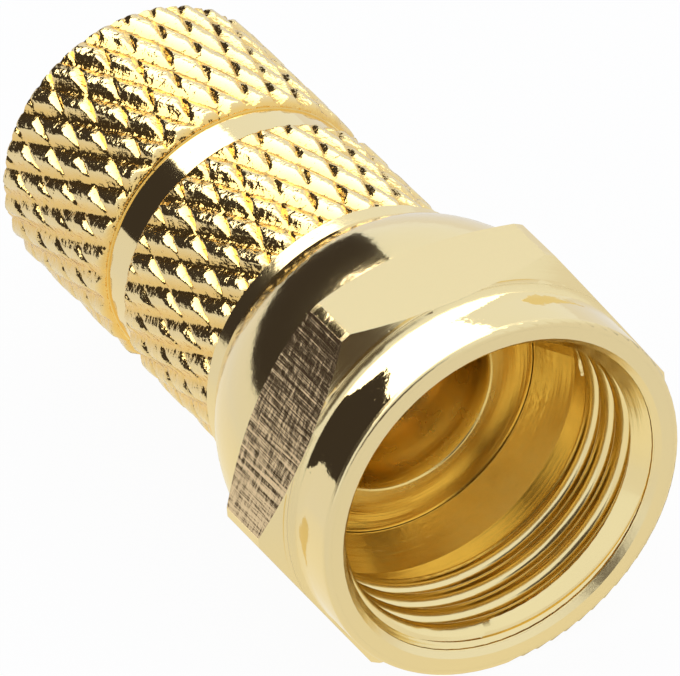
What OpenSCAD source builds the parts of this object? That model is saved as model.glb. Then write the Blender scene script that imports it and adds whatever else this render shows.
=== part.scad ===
// Twist-on coaxial cable connector: a captive hexagon coupling nut that turns
// freely on the neck of a knurled, one-piece sleeve.
// It lies on one of the nut's flats: the axis runs along Y, the mouth opens to
// -Y, and the origin is under the middle of the whole, at the table.

/* [Coupling nut] */
// Length of the nut along its axis
nut_len = 8.2; // [7.6:0.1:10]
// Size of the hexagon across its flats
hex_af = 11.1; // [11:0.1:12.2]
// How far the hexagon's corners are blunted, on the diameter
hex_blunt = 0.17; // [0.1:0.01:0.5]
// Distance from the mouth to the front edge of the flats
hex_front = 1.85; // [1.4:0.05:2.1]
// Length of the hexagon along its corners
hex_len = 1.7; // [1.2:0.1:2.1]
// Axial length of the steep shoulder in front of the hexagon
front_shoulder = 0.3; // [0.1:0.05:0.5]
// Axial length of the chamfer behind the hexagon
rear_chamfer = 0.6; // [0.3:0.05:0.8]
// Diameter of the round skirt at the mouth
skirt_d = 10.96; // [10.6:0.02:11]
// Radius of the fillet between the skirt and the hexagon
skirt_fillet = 0.25; // [0.1:0.05:0.4]
// Edge break on the mouth's outer edge
mouth_edge = 0.12; // [0.05:0.01:0.2]
// Diameter of the collar at the nut's rear end
collar_d = 9; // [8.8:0.1:9.4]
// Length of that collar
collar_len = 0.6; // [0.3:0.05:0.9]

/* [Nut's thread and seat] */
// Major diameter of the 3/8-32 internal thread
thread_d = 9.53; // [9.4:0.01:9.6]
// Diameter of the countersink at the mouth
countersink_d = 9.88; // [9.75:0.02:10.1]
// Depth of the threaded bore with its run-out, where it starts to narrow
bore_depth = 4.3; // [4:0.05:4.6]
// Depth of the seat behind the sleeve's flange, from the mouth
seat_depth = 6.3; // [6.1:0.05:6.6]

/* [Sleeve] */
// Overall length from the nut's mouth to the sleeve's rear end
overall_len = 19.9; // [18:0.1:24]
// Diameter over the tips of the knurl
knurl_d = 8.62; // [8.3:0.02:9]
// Gap between the nut's rear face and the knurled shoulder
shoulder_gap = 0.2; // [0.1:0.05:0.4]
// Diameter of the neck that the nut turns on
neck_d = 6.9; // [6.4:0.1:7.2]
// Diameter of the flared flange that keeps the nut on
flange_d = 8.1; // [7.9:0.05:8.4]
// Thickness of that flange
flange_t = 0.85; // [0.5:0.05:1.1]
// Diameter of the front bore for the cable's dielectric
front_bore_d = 5.5; // [4.9:0.1:5.7]
// Edge break where that bore opens in the flange's face
bore_edge = 0.1; // [0.05:0.05:0.3]
// Diameter of the cable socket at the roots of its coarse thread
socket_d = 6.9; // [6.4:0.1:7.1]
// Distance from the knurled shoulder back to the bottom of the cable socket
socket_web = 0.9; // [0.6:0.1:3]
// Chamfer at the socket's entry
socket_chamfer = 0.3; // [0.1:0.05:0.5]
// Start of the smooth ring between the two knurled bands, from the mouth
ring_start = 13.25; // [12:0.05:14.5]
// Width of the smooth ring
ring_w = 1.15; // [0.6:0.05:2]
// Diameter of the smooth ring
ring_d = 8.06; // [7.8:0.02:8.2]
// Chamfer on the ends of the sleeve
band_chamfer = 0.12; // [0.05:0.01:0.2]
// Chamfer on the knurl at both edges of the smooth ring
ring_chamfer = 0.2; // [0.05:0.01:0.24]

/* [Knurl] */
// Number of teeth around
knurl_teeth = 30; // [24:1:40]
// Distance between rows of teeth along the axis
knurl_row = 1.147; // [0.9:0.001:1.5]
// Share of a tooth's pitch that the deep grooves drift in one row
knurl_lean = 0.55; // [0.4:0.01:0.6]
// Depth of the deep grooves
groove_deep = 0.2; // [0.15:0.01:0.27]
// Depth of the shallow cross grooves
groove_cross = 0.18; // [0.1:0.01:0.26]
// Share of a tooth's pitch taken by a deep groove's long flank
deep_long = 0.46; // [0.3:0.01:0.65]
// Share of a tooth's pitch taken by its short flank
deep_short = 0.32; // [0.15:0.01:0.34]
// Share of a tooth's pitch taken by a cross groove's front flank
cross_front = 0.1; // [0.08:0.01:0.45]
// Share of a tooth's pitch taken by its rear flank
cross_rear = 0.23; // [0.08:0.01:0.45]
// Turn of the pattern about the axis
knurl_turn = 2.7; // [0:0.1:15]
// Place of one row of groove crossings, from the mouth
knurl_row_at = 8.975; // [8:0.005:10]

/* [Clearances] */
// Radial running clearance between the neck and the nut's rear hole
neck_clear = 0.05; // [0.02:0.01:0.08]
// Radial clearance round the flange in its recess
flange_clear = 0.1; // [0.05:0.01:0.2]
// Axial clearance between the flange and its seat in the nut
seat_clear = 0.06; // [0.03:0.01:0.15]

/* [Hidden] */
$fn = 96;
eps = 0.01;
gold = "#d9b65c";
edge = 0.08; // break on the small turned edges
run_on = 0.1; // share of the rear chamfer's length
overcut = 1; // how far the knurl's trimming blank stands off its tips
hex_rear = hex_front + front_shoulder + hex_len;
chamfer_end = hex_rear + rear_chamfer;
hex_corner_d = hex_af / cos(30) - hex_blunt;
collar_start = nut_len - collar_len;
neck_hole_d = neck_d + 2 * neck_clear;
recess_d = flange_d + 2 * flange_clear;
flange_rear = seat_depth - seat_clear;
flange_front = flange_rear - flange_t;
recess_entry = flange_front + edge / 2;
band_start = nut_len + shoulder_gap;
ring_end = ring_start + ring_w;
socket_end = band_start + socket_web;
knurl_r = knurl_d / 2;
trim_r = knurl_r + overcut;

// Lays a shape made along Z, mouth at zero, on the table with its mouth to -Y
module laid_down() {
    translate([0, -overall_len / 2, hex_af / 2]) rotate([-90, 0, 0]) children();
}

// ---- coupling nut ----

// The dome between the hexagon and the collar: an arc that leaves the flats
// parallel to the axis and comes down to the collar
dome_top = hex_af / 2 - edge / 2;
dome_foot = collar_d / 2 + edge / 2;
dome_len = collar_start - chamfer_end;
dome_r = (dome_len * dome_len + pow(dome_top - dome_foot, 2)) / (2 * (dome_top - dome_foot));

module nut_outline() {
    skirt_r = skirt_d / 2;
    corner_r = hex_corner_d / 2;
    collar_r = collar_d / 2;
    // skirt with its rounded mouth edge
    square([skirt_r - mouth_edge, hex_front]);
    translate([0, mouth_edge]) square([skirt_r, hex_front - mouth_edge]);
    translate([skirt_r - mouth_edge, mouth_edge]) circle(r = mouth_edge, $fn = 16);
    // fillet up to the hexagon
    translate([skirt_r - eps, hex_front - skirt_fillet]) difference() {
        square([skirt_fillet + eps, skirt_fillet + eps]);
        translate([skirt_fillet + eps, 0]) circle(r = skirt_fillet, $fn = 24);
    }
    // hexagon, between its front shoulder and its rear chamfer, which runs on
    // a little way inside the dome
    chamfer_drop = corner_r - dome_top;
    polygon([
        [0, hex_front], [skirt_r + skirt_fillet, hex_front], [corner_r, hex_front + front_shoulder],
        [corner_r, hex_rear], [dome_top - run_on * chamfer_drop, chamfer_end + run_on * rear_chamfer],
        [0, chamfer_end + run_on * rear_chamfer]
    ]);
    // dome
    intersection() {
        translate([dome_top - dome_r, chamfer_end]) circle(r = dome_r);
        translate([0, hex_rear]) square([dome_top + eps, collar_start - hex_rear]);
    }
    // collar, a small step below the dome
    polygon([
        [0, collar_start - edge], [collar_r, collar_start - edge],
        [collar_r, nut_len - edge], [collar_r - edge, nut_len], [0, nut_len]
    ]);
}

// The hexagon that the turned outline is milled to, two of its flats level
module nut_flats() {
    translate([0, 0, -eps]) cylinder(h = nut_len + 2 * eps, d = hex_af / cos(30), $fn = 6);
}

module nut_cavity() {
    thread_r = thread_d / 2;
    csk = (countersink_d - thread_d) / 2;
    recess_r = recess_d / 2;
    hole_r = neck_hole_d / 2;
    rotate_extrude() polygon([
        [0, -eps], [countersink_d / 2 + eps, -eps], [thread_r, csk], [thread_r, bore_depth],
        [recess_r, recess_entry], [recess_r, seat_depth], [hole_r, seat_depth],
        [hole_r, nut_len + eps], [0, nut_len + eps]
    ]);
}

module coupling_nut() {
    color(gold) laid_down() difference() {
        intersection() {
            rotate_extrude() nut_outline();
            nut_flats();
        }
        nut_cavity();
    }
}

// ---- knurled sleeve ----

// The knurl is a lattice in two directions: u counts the deep grooves and
// v the cross grooves, and u - v counts the rows along the axis.
pitch_angle = 360 / knurl_teeth;
flank_share = 1 - groove_cross / groove_deep; // of a deep flank below the cross grooves
row_first = floor((band_start - knurl_row_at) / knurl_row) - 1;
row_last = ceil((overall_len - knurl_row_at) / knurl_row) + 1;
tooth_size = len(tooth_points(0, 0)); // points that each tooth adds

function knurl_point(u, v, depth) =
    let (turn = knurl_turn + pitch_angle * ((1 - knurl_lean) * u + knurl_lean * v), r = knurl_r - depth)
    [r * cos(turn), r * sin(turn), knurl_row_at + knurl_row * (u - v)];

// The points a tooth adds: groove crossing, both ends of the cross groove, and
// the four corners of the flat tip
function tooth_points(u, v) = [
    knurl_point(u, v, groove_deep),
    knurl_point(u + deep_long * flank_share, v, groove_cross),
    knurl_point(u + 1 - deep_short * flank_share, v, groove_cross),
    knurl_point(u + deep_long, v + cross_front, 0),
    knurl_point(u + 1 - deep_short, v + cross_front, 0),
    knurl_point(u + deep_long, v + 1 - cross_rear, 0),
    knurl_point(u + 1 - deep_short, v + 1 - cross_rear, 0)
];

// Number of point s of tooth i in a row
function at(i, row, s) = tooth_size * ((row - row_first) * knurl_teeth + (i + knurl_teeth) % knurl_teeth) + s;

function tooth_faces(i, row) =
    let (
        crossing = at(i, row, 0), cross_a = at(i, row, 1), cross_b = at(i, row, 2),
        tip_a = at(i, row, 3), tip_b = at(i, row, 4), tip_c = at(i, row, 5), tip_d = at(i, row, 6),
        front = at(i, row - 1, 0), front_a = at(i, row - 1, 1), front_b = at(i, row - 1, 2),
        side = at(i + 1, row, 0), rear = at(i + 1, row + 1, 0)
    ) [
        [tip_a, tip_b, tip_d], [tip_a, tip_d, tip_c],
        [cross_a, cross_b, tip_b], [cross_a, tip_b, tip_a],
        [tip_c, tip_d, front_b], [tip_c, front_b, front_a],
        [crossing, cross_a, tip_a], [crossing, tip_a, tip_c], [crossing, tip_c, front], [front, tip_c, front_a],
        [rear, side, tip_d], [side, front_b, tip_d], [rear, tip_d, tip_b], [rear, tip_b, cross_b]
    ];

// The zigzag edge on which a row starts or the last row ends
function row_edge(row) = [
    for (i = [0 : knurl_teeth - 1]) each [at(i, row, 0), at(i, row, 1), at(i, row, 2), at(i + 1, row + 1, 0)]
];

module knurled_bar() {
    points = [for (row = [row_first : row_last], i = [0 : knurl_teeth - 1]) each tooth_points(i, i - row)];
    front_edge = row_edge(row_first);
    rear_edge = row_edge(row_last - 1);
    count = len(front_edge);
    front_tip = len(points);
    polyhedron(
        points = concat(points, [
            [0, 0, knurl_row_at + knurl_row * (row_first - 1)], [0, 0, knurl_row_at + knurl_row * (row_last + 1)]
        ]),
        faces = concat(
            [for (row = [row_first + 1 : row_last - 1], i = [0 : knurl_teeth - 1]) each tooth_faces(i, row)],
            [for (k = [0 : count - 1]) [front_tip, front_edge[k], front_edge[(k + 1) % count]]],
            [for (k = [0 : count - 1]) [front_tip + 1, rear_edge[(k + 1) % count], rear_edge[k]]]
        )
    );
}

// The turned blank that trims the knurl: chamfered ends and the smooth ring
module band_blank() {
    tip = knurl_r - band_chamfer;
    ring_r = ring_d / 2;
    run = trim_r - tip;
    ring_tip = knurl_r - ring_chamfer;
    ring_run = trim_r - ring_tip;
    rotate_extrude() polygon([
        [0, band_start], [tip, band_start], [trim_r, band_start + run],
        [trim_r, ring_start - ring_run], [ring_tip, ring_start], [ring_r, ring_start],
        [ring_r, ring_end], [ring_tip, ring_end], [trim_r, ring_end + ring_run],
        [trim_r, overall_len - run], [tip, overall_len], [0, overall_len]
    ]);
}

module sleeve_bores() {
    bore_r = front_bore_d / 2;
    socket_r = socket_d / 2;
    rotate_extrude() polygon([
        [0, flange_front - eps], [bore_r + bore_edge + eps, flange_front - eps], [bore_r, flange_front + bore_edge],
        [bore_r, socket_end - (socket_r - bore_r)], [socket_r, socket_end],
        [socket_r, overall_len - socket_chamfer], [socket_r + socket_chamfer + eps, overall_len + eps],
        [0, overall_len + eps]
    ]);
}

module neck_and_flange() {
    rotate_extrude() polygon([
        [0, flange_front], [flange_d / 2 - edge, flange_front], [flange_d / 2, flange_front + edge],
        [flange_d / 2, flange_rear], [neck_d / 2, flange_rear], [neck_d / 2, band_start + edge], [0, band_start + edge]
    ]);
}

module knurled_sleeve() {
    color(gold) laid_down() difference() {
        union() {
            intersection() {
                knurled_bar();
                band_blank();
            }
            neck_and_flange();
        }
        sleeve_bores();
    }
}

coupling_nut();
knurled_sleeve();
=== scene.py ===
import math
import random

import bpy
from mathutils import Matrix, Vector


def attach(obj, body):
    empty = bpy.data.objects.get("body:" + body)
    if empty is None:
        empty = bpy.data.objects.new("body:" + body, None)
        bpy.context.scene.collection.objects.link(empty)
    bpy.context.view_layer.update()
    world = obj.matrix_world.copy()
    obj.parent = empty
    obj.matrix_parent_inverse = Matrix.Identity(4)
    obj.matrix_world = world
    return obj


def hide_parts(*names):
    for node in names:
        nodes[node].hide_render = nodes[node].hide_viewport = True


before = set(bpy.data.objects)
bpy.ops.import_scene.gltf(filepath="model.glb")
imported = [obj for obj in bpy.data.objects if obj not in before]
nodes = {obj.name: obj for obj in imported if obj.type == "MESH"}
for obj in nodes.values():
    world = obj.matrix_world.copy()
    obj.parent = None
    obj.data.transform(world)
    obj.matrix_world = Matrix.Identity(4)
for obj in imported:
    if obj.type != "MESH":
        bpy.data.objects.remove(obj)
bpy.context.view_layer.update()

MM = 0.001
nut = nodes["coupling_nut"]
sleeve = nodes["knurled_sleeve"]

# The connector's own sizes in millimetres, as the solids have them
MOUTH_Y = -9.95
AXIS_Z = 5.55
HALF_FLAT = 5.55
PORT_MAJOR_R = 4.765
PORT_MINOR_R = 4.39
PORT_PITCH = 0.794
PORT_THREAD_END = 3.5
COUNTERSINK_R = 4.94
SOCKET_R = 3.45
SOCKET_CREST_R = 3.12
SOCKET_PITCH = 1.6
SOCKET_FRONT = 9.3
SLEEVE_END = 19.9
SLEEVE_START = 8.4
RING = (13.25, 14.4)
RING_R = 4.03
KNURL_R = 4.31
KNURL_TEETH = 30
KNURL_ROW = 1.1506
KNURL_ROW_AT = 8.975
KNURL_LEAN = 0.5577
KNURL_TURN = 2.84
BORE_R = 2.75
BORE_END = 8.6
NECK_R = 3.45
FLANGE_R = 4.05
FLANGE_LIP_R = 4.135
FLANGE_FRONT = 5.39
FLANGE_BACK = 6.24
SOCKET_MOUTH_R = 3.75
BAND_EDGE_R = 4.19
RING_EDGE_R = 4.11

# How each set of grooves climbs to the land and falls to the next groove, as shares of a
# tooth and the powers of the curves, with its depth
DEEP_GROOVE = {"climb": 0.44, "fall": 0.34, "climb_curve": 1.5, "fall_curve": 1.0}
DEEP_DEPTH = 0.172
CROSS_GROOVE = {"climb": 0.165, "fall": 0.235, "climb_curve": 1.44, "fall_curve": 0.7}
CROSS_DEPTH = 0.17
EDGE_SOFTNESS = 0.03

GOLD = (0.94, 0.77, 0.40, 1.0)
# a deeper gold for inner surfaces: painted light bounced round inside the bores
INNER_BOUNCE_GOLD = (0.98, 0.73, 0.25, 1.0)
THREAD_GOLD = (0.96, 0.78, 0.38, 1.0)
GROOVE_GOLD = (0.93, 0.63, 0.20, 1.0)
# a browner gold, painted shade for the nut's side flats
SIDE_FLAT_SHADE_GOLD = (0.90, 0.68, 0.38, 1.0)


# ---- shader helpers ----

class Maths:
    """A number in a material; each operator used on it adds a Math node."""

    def __init__(self, tree, socket):
        self.tree, self.socket = tree, socket

    def _op(self, operation, *inputs, clamp=False):
        node = self.tree.nodes.new("ShaderNodeMath")
        node.operation = operation
        node.use_clamp = clamp
        for i, value in enumerate(inputs):
            if isinstance(value, Maths):
                self.tree.links.new(value.socket, node.inputs[i])
            else:
                node.inputs[i].default_value = value
        return Maths(self.tree, node.outputs[0])

    def __add__(self, other): return self._op("ADD", self, other)
    def __radd__(self, other): return self._op("ADD", other, self)
    def __sub__(self, other): return self._op("SUBTRACT", self, other)
    def __rsub__(self, other): return self._op("SUBTRACT", other, self)
    def __mul__(self, other): return self._op("MULTIPLY", self, other)
    def __rmul__(self, other): return self._op("MULTIPLY", other, self)
    def __truediv__(self, other): return self._op("DIVIDE", self, other)
    def __gt__(self, edge): return self._op("GREATER_THAN", self, edge)
    def __lt__(self, edge): return self._op("LESS_THAN", self, edge)
    def sine(self): return self._op("SINE", self)
    def cosine(self): return self._op("COSINE", self)
    def root(self): return self._op("SQRT", self)
    def rounded(self): return self._op("ROUND", self)
    def size(self): return self._op("ABSOLUTE", self)
    def held(self): return self._op("ADD", self, 0.0, clamp=True)
    def angle_over(self, other): return self._op("ARCTAN2", self, other)


class Finish:
    """A material under construction."""

    def __init__(self, name):
        self.material = bpy.data.materials.new(name)
        self.material.use_nodes = True
        self.tree = self.material.node_tree
        self.tree.nodes.clear()

    def node(self, kind, settings=None, **sockets):
        """Adds a node. Sockets go by name, with _ for a space, or as i0, i1 and so on by place."""
        made = self.tree.nodes.new("ShaderNode" + kind)
        for key, value in (settings or {}).items():
            setattr(made, key, value)
        for key, value in sockets.items():
            by_place = key[0] == "i" and key[1:].isdigit()
            socket = made.inputs[int(key[1:]) if by_place else key.replace("_", " ")]
            if isinstance(value, Maths):
                self.tree.links.new(value.socket, socket)
            elif isinstance(value, bpy.types.NodeSocket):
                self.tree.links.new(value, socket)
            else:
                socket.default_value = value
        return made

    def number(self, socket):
        return Maths(self.tree, socket)

    def noise(self, x, y, z, detail=2.0):
        """Noise of -1 to 1, most of it within a half, over three numbers."""
        place = self.node("CombineXYZ", X=x, Y=y, Z=z).outputs[0]
        waves = self.node("TexNoise", Vector=place, Scale=1.0, Detail=detail)
        return self.number(waves.outputs["Fac"]) * 2.0 - 1.0

    def blend(self, share, low, high):
        """low where share is 0, high where it is 1."""
        return low + share * (high - low)

    def tint(self, share, low, high):
        """A colour between low and high."""
        return self.node("Mix", {"data_type": "RGBA"}, i0=share, i6=low, i7=high).outputs[2]

    def metal(self, height, roughness, colour):
        """Ends the material as bare metal plate, with its height in millimetres."""
        bump = self.node("Bump", Strength=1.0, Distance=1.0 * MM, Height=height)
        shader = self.node(
            "BsdfPrincipled", Base_Color=colour, Metallic=1.0, Roughness=roughness,
            Normal=bump.outputs["Normal"])
        self.node("OutputMaterial", Surface=shader.outputs["BSDF"])
        return self.material


class Turned:
    """Where a point of a turned piece lies, in millimetres, about the connector's axis."""

    def __init__(self, f):
        place = f.node("TexCoord").outputs["Object"]
        mm = f.node("VectorMath", {"operation": "SCALE"}, i0=place, Scale=1.0 / MM).outputs[0]
        parts = f.node("SeparateXYZ", Vector=mm)
        self.x = f.number(parts.outputs["X"])
        self.along = f.number(parts.outputs["Y"]) - MOUTH_Y
        self.up = f.number(parts.outputs["Z"]) - AXIS_Z
        self.radius = (self.x * self.x + self.up * self.up).root()
        self.turn = self.x.angle_over(self.up)


def polish(f, at, waves, pits):
    """The height of polished plate: slow waves, orange peel and a few pits."""
    slow = f.noise(at.x * 1.1, at.along * 1.1, at.up * 1.1, 1.0)
    peel = f.noise(at.x * 4.5, at.along * 4.5, at.up * 4.5, 2.0)
    patch = (f.noise(at.x * 0.6 + 7.0, at.along * 0.6, at.up * 0.6, 1.0) * 1.6 + 0.55).held()
    speck = (f.noise(at.x * 9.0, at.along * 9.0 + 3.0, at.up * 9.0, 1.0) - 0.42).held()
    return slow * waves + peel * patch * (waves * 0.35) - speck * pits


def lathe_lines(f, at, fine, coarse):
    """The height of fine lines that a lathe leaves round the axis."""
    thin = f.noise(at.along * 28.0, at.radius * 28.0, at.turn * 0.6, 1.0)
    wide = f.noise(at.along * 7.0, at.radius * 7.0, at.turn * 0.35 + 4.0, 1.0)
    return thin * fine + wide * coarse


def nut_plate():
    f = Finish("gold_plate_nut")
    at = Turned(f)
    sector = (at.turn * (3.0 / math.pi)).rounded()
    local = at.turn - sector * (math.pi / 3.0)
    across = at.radius * local.sine()
    on_flat = (at.radius * local.cosine()) > HALF_FLAT - 0.004
    inside = (at.radius < 4.79) * (at.along < 6.5)
    threaded = inside * (at.along < 3.62)
    mouth = (at.along < 0.2) * (1.0 - threaded)
    skirt = (at.radius < 5.62) * (at.along < 1.84) * (at.radius > 5.3)
    shoulder = (at.radius > 5.6) * (at.along < 2.3)

    # shaded as if the skirt were a little hollow at the mouth and swept up to the hexagon
    sweep = (at.along - 1.15).held()
    lip = (0.9 - at.along).held()
    drawn = (sweep * sweep * 0.3 - lip * lip * 0.035) * skirt
    dents = f.noise(at.x * 2.0 + 5.0, at.along * 2.0, at.up * 2.0, 3.0) * 0.0045 * (at.radius < 5.62)
    outer = polish(f, at, 0.0022, 0.006) + drawn + dents
    outer = outer + lathe_lines(f, at, 0.00006, 0.0) + lathe_lines(f, at, 0.0006, 0.0012) * shoulder
    seat = (at.along > 4.9) * 0.004
    burr = (at.along > 3.2) * (at.along < 3.62) * 0.008
    rough_cut = f.noise(at.x * 6.0, at.along * 6.0, at.up * 6.0) * (seat + burr)
    bored = lathe_lines(f, at, 0.0006, 0.0026) + rough_cut
    streak = f.noise(across * 4.2, at.along * 0.3, sector * 3.0 + 1.0, 3.0)
    row = f.noise(across * 1.6, at.along * 5.0 + across * 0.6, sector * 5.0, 2.0)
    # coarse is 1 on the side flats and small on the top flat: it sets their milling marks and roughness,
    # and the painted shade that browns them
    coarse = f.blend((sector.size() < 0.5), 1.0, 0.06)
    # shaded as if each flat were crowned, so that one edge of it is darker than the other
    milled = (streak * 0.0075 + row * 0.0085 - across * across * 0.006) * coarse

    height = f.blend(on_flat, f.blend(inside, outer, bored), milled)
    smear = f.noise(at.x * 1.5, at.along * 1.5, at.up * 1.5 + 9.0, 2.0)
    fillet = skirt * (at.along > 1.58)
    rough = 0.05 + smear * 0.015 + mouth * 0.17 + shoulder * 0.1 + fillet * 0.2 + (at.along > 3.7) * 0.06
    bore_rough = f.blend(threaded, 0.2 + smear * 0.08, 0.17 + smear * 0.06)
    flat_rough = 0.05 + coarse * 0.1 + streak * coarse * 0.05
    rough = f.blend(on_flat, f.blend(inside, rough, bore_rough), flat_rough)
    # the side flats get the browner gold: painted shade, since every flat is the same metal
    outside = f.tint(on_flat * coarse, GOLD, SIDE_FLAT_SHADE_GOLD)
    # inside, past the thread, the gold is deeper: painted light bounced round the bore
    colour = f.tint(inside, outside, f.tint(threaded, INNER_BOUNCE_GOLD, THREAD_GOLD))
    return f.metal(height, rough, colour)


def sleeve_plate():
    f = Finish("gold_plate_sleeve")
    at = Turned(f)
    ring = (at.along > RING[0]) * (at.along < RING[1])
    outside = (at.radius > 4.0) * (at.along > SLEEVE_START)
    knurled = outside * (1.0 - ring)
    bore = (1.0 - outside) * (at.radius < 3.0)

    smooth = polish(f, at, 0.0016, 0.004) + lathe_lines(f, at, 0.0001, 0.0)
    bored = lathe_lines(f, at, 0.0020, 0.0034)
    # u counts the knurl's deep grooves, so lines of one u run along them
    u = at.turn * (KNURL_TEETH / (2 * math.pi)) + at.along * (KNURL_LEAN / KNURL_ROW)
    rolled = f.noise(u * 7.0, at.along * 0.8, 0.5, 2.0) * 0.007
    rolled = rolled + f.noise(at.x * 3.4, at.along * 3.4, at.up * 3.4, 3.0) * 0.032

    height = f.blend(knurled, f.blend(outside, bored, smooth), rolled)
    smear = f.noise(at.x * 1.5, at.along * 1.5, at.up * 1.5 + 9.0, 2.0)
    inside_rough = 0.2 + bore * 0.06 + smear * 0.08
    plain_rough = f.blend(outside, inside_rough, 0.05 + smear * 0.015)
    rough = f.blend(knurled, plain_rough, 0.12 + smear * 0.03)
    # a yellower gold in the grooves stands for light that bounces between their flanks
    groove_depth = ((KNURL_R - at.radius) * 6.0 + 0.1).held() * knurled
    outer_gold = f.tint(groove_depth, GOLD, GROOVE_GOLD)
    # the inner surfaces get the deeper gold: painted light bounced round inside the sleeve
    return f.metal(height, rough, f.tint(outside, INNER_BOUNCE_GOLD, outer_gold))


nut_gold = nut_plate()
sleeve_gold = sleeve_plate()
nut.data.materials.clear()
nut.data.materials.append(nut_gold)


# ---- modelling helpers ----

def only(piece):
    """Makes a piece the one that is selected and active."""
    bpy.ops.object.select_all(action="DESELECT")
    bpy.context.view_layer.objects.active = piece
    piece.select_set(True)


def edit(mode="VERT"):
    bpy.ops.object.mode_set(mode="EDIT")
    bpy.ops.mesh.select_mode(type=mode)


def done():
    bpy.ops.object.mode_set(mode="OBJECT")


def pick_points(piece, test):
    """Selects the points whose place, in the piece's own millimetres, passes the test."""
    edit()
    bpy.ops.mesh.select_all(action="DESELECT")
    done()
    for point in piece.data.vertices:
        point.select = test(point.co / MM)
    edit()


def apply_all(piece):
    only(piece)
    for modifier in list(piece.modifiers):
        bpy.ops.object.modifier_apply(modifier=modifier.name)


def settle(piece):
    """Puts a piece's place into its mesh, so that the object sits at the origin."""
    only(piece)
    bpy.ops.object.transform_apply(location=True, rotation=True, scale=True)


def cut_away(piece, cutter):
    """Takes the cutter's shape out of a piece and removes the cutter."""
    cut = piece.modifiers.new("cut", "BOOLEAN")
    cut.operation, cut.solver, cut.object = "DIFFERENCE", "EXACT", cutter
    apply_all(piece)
    bpy.data.objects.remove(cutter)


def thread_ridge(name, root_r, crest_r, base, crest, rounding, pitch, start, turns):
    """The ridge of an inside thread: its section, screwed round the axis. start counts from the mouth."""
    bpy.ops.object.select_all(action="DESELECT")
    bpy.ops.mesh.primitive_plane_add(size=1.0 * MM, location=(0, 0, AXIS_Z * MM))
    ridge = bpy.context.object
    ridge.name = name
    deep = root_r - crest_r
    edit()
    bpy.ops.transform.resize(value=(deep, base, 1.0))
    bpy.ops.transform.translate(value=((crest_r + deep / 2) * MM, (MOUTH_Y + start) * MM, 0))
    done()
    middle = crest_r + deep / 2
    pick_points(ridge, lambda co: co.x < middle)
    bpy.ops.transform.resize(
        value=(1.0, crest / base, 1.0),
        center_override=(crest_r * MM, (MOUTH_Y + start) * MM, AXIS_Z * MM))
    bpy.ops.mesh.bevel(affect="VERTICES", offset=rounding * MM, segments=4)
    bpy.ops.mesh.select_all(action="SELECT")
    bpy.ops.mesh.delete(type="ONLY_FACE")
    done()
    screw = ridge.modifiers.new("screw", "SCREW")
    screw.axis, screw.angle, screw.iterations = "Y", 2 * math.pi, turns
    screw.screw_offset = pitch * MM
    screw.steps = screw.render_steps = 72
    screw.use_smooth_shade = False
    apply_all(ridge)
    edit()
    bpy.ops.mesh.select_all(action="SELECT")
    bpy.ops.mesh.remove_doubles(threshold=0.0001 * MM)
    bpy.ops.mesh.select_non_manifold()
    bpy.ops.mesh.fill_holes(sides=0)
    bpy.ops.mesh.select_all(action="SELECT")
    bpy.ops.mesh.normals_make_consistent(inside=False)
    done()
    settle(ridge)
    return ridge


def trim_thread(ridge, at, keep_rear):
    """Cuts a ridge off square at a distance from the mouth, enlarged so the cut fills cleanly."""
    only(ridge)
    edit()
    bpy.ops.mesh.select_all(action="SELECT")
    bpy.ops.transform.resize(value=(1 / MM, 1 / MM, 1 / MM), center_override=(0, 0, 0))
    bpy.ops.mesh.bisect(
        plane_co=(0, MOUTH_Y + at, AXIS_Z), plane_no=(0, 1, 0), use_fill=True,
        clear_inner=keep_rear, clear_outer=not keep_rear)
    bpy.ops.mesh.select_all(action="SELECT")
    bpy.ops.mesh.quads_convert_to_tris()
    bpy.ops.transform.resize(value=(MM, MM, MM), center_override=(0, 0, 0))
    done()


def entry_cone(wide_r, narrow_r, long, at, towards):
    """A cutter with the shape of a countersink, opening at a distance from the mouth."""
    spare = 0.3
    wide_r += (wide_r - narrow_r) / long * spare
    depth = long + spare
    bpy.ops.object.select_all(action="DESELECT")
    bpy.ops.mesh.primitive_cone_add(
        vertices=144, radius1=wide_r * MM, radius2=narrow_r * MM, depth=depth * MM,
        location=(0, (MOUTH_Y + at + towards * (depth / 2 - spare)) * MM, AXIS_Z * MM),
        rotation=(-towards * math.pi / 2, 0, 0))
    return bpy.context.object


def finished(piece, body, finish, angle=32):
    only(piece)
    piece.data.materials.clear()
    piece.data.materials.append(finish)
    bpy.ops.object.shade_smooth_by_angle(angle=math.radians(angle))
    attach(piece, body)


# ---- thread of the coupling nut ----

port_thread = thread_ridge(
    "nut_thread", PORT_MAJOR_R + 0.012, PORT_MINOR_R, 0.775, 0.5, 0.19, PORT_PITCH, -0.2, 5)
trim_thread(port_thread, 0.1, True)
trim_thread(port_thread, PORT_THREAD_END, False)
cut_away(port_thread, entry_cone(COUNTERSINK_R, PORT_MINOR_R - 0.2, 1.0, 0, 1))
pick_points(port_thread, lambda co: co.y > MOUTH_Y + PORT_THREAD_END - 0.02)
bpy.ops.transform.vertex_random(offset=0.02 * MM, seed=4)
done()
finished(port_thread, "nut", nut_gold)


# ---- coarse thread of the cable socket ----

socket_thread = thread_ridge(
    "socket_thread", SOCKET_R + 0.012, SOCKET_CREST_R, 0.95, 0.2, 0.06, SOCKET_PITCH, SOCKET_FRONT, 7)
trim_thread(socket_thread, SOCKET_FRONT + 0.5, True)
trim_thread(socket_thread, SLEEVE_END - 0.1, False)
cut_away(socket_thread, entry_cone(SOCKET_R + 0.3, SOCKET_CREST_R - 0.2, 0.8, SLEEVE_END, -1))
finished(socket_thread, "sleeve", sleeve_gold)


# ---- knurled sleeve ----
# The knurl's flanks are hollow and its grooves uneven, so the whole surface of the sleeve
# is laid out row by row: each column of points follows a deep groove.

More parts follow.
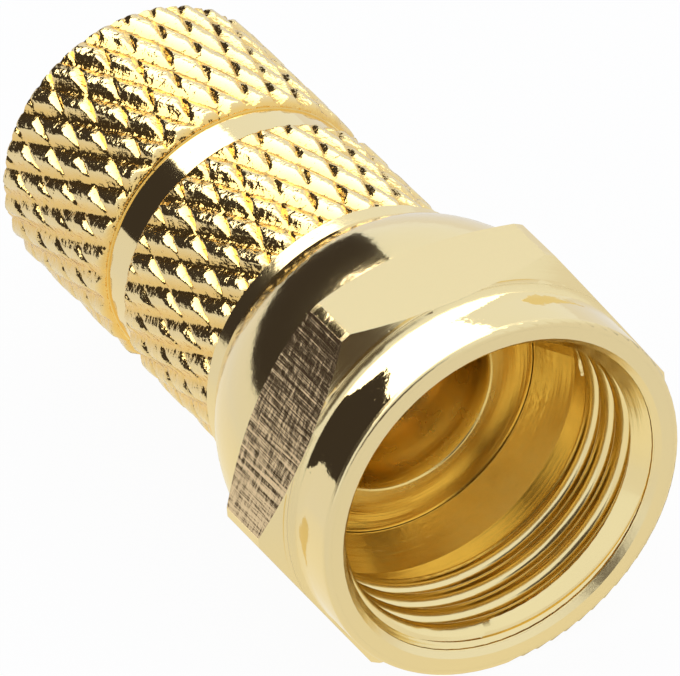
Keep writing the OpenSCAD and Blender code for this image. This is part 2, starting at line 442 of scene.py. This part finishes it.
STEPS = 16  # points to a tooth, along and across
ROW_GAP = 0.03  # how near to an edge a row may come


def groove(share, climb, fall, climb_curve, fall_curve):
    """How far up a point is, from 0 in one groove to 1 on the land, up to the next groove."""
    share %= 1.0
    return min(min(share / climb, 1.0) ** climb_curve, min((1.0 - share) / fall, 1.0) ** fall_curve)


rng = random.Random(5)
TOOTH_ROWS = 64


def uneven_tooth():
    """The shares of its depths and the shift of its cross groove that a tooth has."""
    return rng.uniform(0.8, 1.08), rng.uniform(-0.04, 0.04), rng.uniform(0.93, 1.03)


teeth = [[uneven_tooth() for _ in range(TOOTH_ROWS)] for _ in range(KNURL_TEETH)]


def knurl_radius(u, v):
    """The knurl's radius where u counts the deep grooves and v the cross grooves."""
    cross_share, shift, deep_share = teeth[math.floor(u) % KNURL_TEETH][math.floor(v + 0.5) % TOOTH_ROWS]
    deep = (1.0 - groove(u, **DEEP_GROOVE)) * DEEP_DEPTH * deep_share
    cross = (1.0 - groove(v + shift, **CROSS_GROOVE)) * CROSS_DEPTH * cross_share
    near = min(max(0.5 + 0.5 * (deep - cross) / EDGE_SOFTNESS, 0.0), 1.0)
    return KNURL_R - (cross + (deep - cross) * near + EDGE_SOFTNESS * near * (1.0 - near))


def sleeve_rows():
    """The rows of the outside, front to back: distance from the mouth, and the ring's radius or None."""
    rows = [(SLEEVE_START, None)]
    first = math.ceil((SLEEVE_START + ROW_GAP - KNURL_ROW_AT) / KNURL_ROW * STEPS)
    last = math.floor((SLEEVE_END - ROW_GAP - KNURL_ROW_AT) / KNURL_ROW * STEPS)
    for k in range(first, last + 1):
        t = KNURL_ROW_AT + KNURL_ROW * k / STEPS
        if abs(t - RING[0]) > ROW_GAP and abs(t - RING[1]) > ROW_GAP:
            rows.append((t, RING_R if RING[0] < t < RING[1] else None))
    step = 1e-6
    rows += [(RING[0], None), (RING[0] + step, RING_R), (RING[1] - step, RING_R), (RING[1], None)]
    rows.append((SLEEVE_END, None))
    return sorted(rows)


def outside_radius(column, t):
    b = (t - KNURL_ROW_AT) / KNURL_ROW
    u = column / STEPS
    chamfers = [BAND_EDGE_R + t - SLEEVE_START, BAND_EDGE_R + SLEEVE_END - t]
    chamfers.append(RING_EDGE_R + RING[0] - t if t <= RING[0] else RING_EDGE_R + t - RING[1])
    return min([knurl_radius(u, u - b)] + chamfers)


def make_sleeve():
    columns = KNURL_TEETH * STEPS
    verts, rings = [], []

    def ring_of(t, radius, lead):
        start = len(verts)
        for c in range(columns):
            r = radius if radius is not None else outside_radius(c, t)
            a = math.radians(90.0 + KNURL_TURN) + 2 * math.pi / columns * (c - lead)
            verts.append((r * math.sin(a) * MM, (MOUTH_Y + t) * MM, (AXIS_Z + r * math.cos(a)) * MM))
        rings.append(start)

    for t, radius in sleeve_rows():
        ring_of(t, radius, KNURL_LEAN * STEPS * (t - KNURL_ROW_AT) / KNURL_ROW)
    # from the rear end through the socket and bore, round the flange and neck
    lead = KNURL_LEAN * STEPS * (SLEEVE_END - KNURL_ROW_AT) / KNURL_ROW
    inner = (
        (SLEEVE_END, SOCKET_MOUTH_R), (SLEEVE_END - 0.3, SOCKET_R), (SOCKET_FRONT, SOCKET_R),
        (BORE_END, BORE_R), (FLANGE_FRONT + 0.05, BORE_R), (FLANGE_FRONT + 0.01, BORE_R + 0.04),
        (FLANGE_FRONT, BORE_R + 0.1), (FLANGE_FRONT, 3.4), (FLANGE_FRONT, 3.98),
        (FLANGE_FRONT + 0.01, 4.07), (FLANGE_FRONT + 0.04, 4.12), (FLANGE_FRONT + 0.09, FLANGE_LIP_R),
        (FLANGE_FRONT + 0.14, 4.11), (FLANGE_FRONT + 0.17, FLANGE_R), (FLANGE_BACK, FLANGE_R),
        (FLANGE_BACK, NECK_R), (SLEEVE_START, NECK_R))
    for t, radius in inner:
        ring_of(t, radius, lead)
    faces = []
    shift = round(lead - KNURL_LEAN * STEPS * (SLEEVE_START - KNURL_ROW_AT) / KNURL_ROW)
    for i, a in enumerate(rings):
        closing = i == len(rings) - 1
        b = rings[0] if closing else rings[i + 1]
        for c in range(columns):
            d = (c + 1) % columns
            e, f = ((c - shift) % columns, (d - shift) % columns) if closing else (c, d)
            if i < len(rings) - len(inner) - 1:
                faces += [(a + c, b + f, a + d), (a + c, b + e, b + f)]
            else:
                faces.append((a + c, b + e, b + f, a + d))
    mesh = bpy.data.meshes.new("sleeve")
    mesh.from_pydata(verts, [], faces)
    piece = bpy.data.objects.new("sleeve", mesh)
    bpy.context.scene.collection.objects.link(piece)
    only(piece)
    edit()
    bpy.ops.mesh.select_all(action="SELECT")
    bpy.ops.mesh.normals_make_consistent(inside=False)
    done()
    return piece


turned_sleeve = make_sleeve()
finished(turned_sleeve, "sleeve", sleeve_gold, angle=48)
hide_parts("knurled_sleeve")


# ---- stage ----

def sky_point(azimuth, elevation, distance):
    """A point in a compass direction from the connector: 0 is along its axis, 90 to its right."""
    a, e = math.radians(azimuth), math.radians(elevation)
    return (
        distance * math.cos(e) * math.sin(a), distance * math.cos(e) * math.cos(a),
        AXIS_Z * MM + distance * math.sin(e))


def studio_card(name, west, east, low, high, distance, colour, strength):
    """A curved card of the studio, which only the metal sees."""
    steps = 24
    heights = (low, (low + high) / 2, high)
    rings = [[sky_point(west + (east - west) * i / steps, el, distance) for el in heights]
             for i in range(steps + 1)]
    faces = [(3 * i + k, 3 * i + 3 + k, 3 * i + 4 + k, 3 * i + 1 + k) for i in range(steps) for k in (0, 1)]
    mesh = bpy.data.meshes.new(name)
    mesh.from_pydata([p for ring in rings for p in ring], [], faces)
    card = bpy.data.objects.new(name, mesh)
    bpy.context.scene.collection.objects.link(card)
    f = Finish(name)
    light = f.node("Emission", Color=(*colour, 1.0), Strength=strength)
    f.node("OutputMaterial", Surface=light.outputs["Emission"])
    mesh.materials.append(f.material)
    card.visible_camera = card.visible_shadow = card.visible_diffuse = False


studio_card("dark_backdrop", -80, 19, -1.2, 39.3, 0.6, (0.045, 0.037, 0.035), 1.0)
studio_card("dark_front", 174, 222, -8, 36, 0.7, (0.08, 0.062, 0.05), 1.0)
studio_card("softbox", -80, 75, 39.3, 84, 0.65, (1.0, 0.97, 0.92), 3.0)

bpy.ops.object.select_all(action="DESELECT")
bpy.ops.mesh.primitive_plane_add(size=6.0)
floor = bpy.context.object
floor.name = "floor"
f = Finish("floor_white")
path = f.node("LightPath")
spot = f.node("SeparateXYZ", Vector=f.node("NewGeometry").outputs["Position"])
reach_x, reach_y = f.number(spot.outputs["X"]), f.number(spot.outputs["Y"])
# to the metal the floor shows a painted pool of warm light within 2 cm of the connector, and a cooler white
# further out
near = (1.0 - (reach_x * reach_x + reach_y * reach_y).root() / 0.02).held()
reflected_floor_warm_pool = f.tint(near, (0.80, 0.80, 0.83, 1.0), (0.95, 0.88, 0.66, 1.0))
to_metal = f.node("Emission", Color=reflected_floor_warm_pool, Strength=1.0)
to_eye = f.node("Emission", Color=(1.0, 1.0, 1.0, 1.0), Strength=1.0)
paint = f.node("BsdfDiffuse", Color=(0.9, 0.9, 0.9, 1.0))
eye = f.node("MixShader", i0=0.95, i1=paint.outputs[0], i2=to_eye.outputs[0])
other = f.node("MixShader", i0=path.outputs["Is Glossy Ray"], i1=paint.outputs[0], i2=to_metal.outputs[0])
both = f.node("MixShader", i0=path.outputs["Is Camera Ray"], i1=other.outputs[0], i2=eye.outputs[0])
f.node("OutputMaterial", Surface=both.outputs[0])
floor.data.materials.append(f.material)

world = bpy.data.worlds.new("studio")
bpy.context.scene.world = world
world.use_nodes = True
tree = world.node_tree
tree.nodes.clear()
background = tree.nodes.new("ShaderNodeBackground")
background.inputs["Color"].default_value = (0.87, 0.91, 1.0, 1.0)
background.inputs["Strength"].default_value = 1.0
output = tree.nodes.new("ShaderNodeOutputWorld")
tree.links.new(background.outputs[0], output.inputs[0])


# ---- camera ----

camera_data = bpy.data.cameras.new("camera")
camera = bpy.data.objects.new("camera", camera_data)
bpy.context.scene.collection.objects.link(camera)
bpy.context.scene.camera = camera
camera_data.sensor_width = 36.0
camera_data.lens = 948.0
camera_data.clip_start, camera_data.clip_end = 0.05, 10.0
right = Vector((0.8632, -0.4996, -0.0726)).normalized()
back = Vector((-0.3628, -0.7139, 0.5990))
back = (back - right * back.dot(right)).normalized()
up = back.cross(right)
mouth = Vector((0.0, MOUTH_Y, AXIS_Z)) * MM
place = mouth + (-4.3606 * right + 4.3190 * up + 478.62 * back) * MM
turn = Matrix((right, up, back)).transposed()
camera.matrix_world = Matrix.Translation(place) @ turn.to_4x4()

bpy.context.scene.view_settings.view_transform = "Standard"
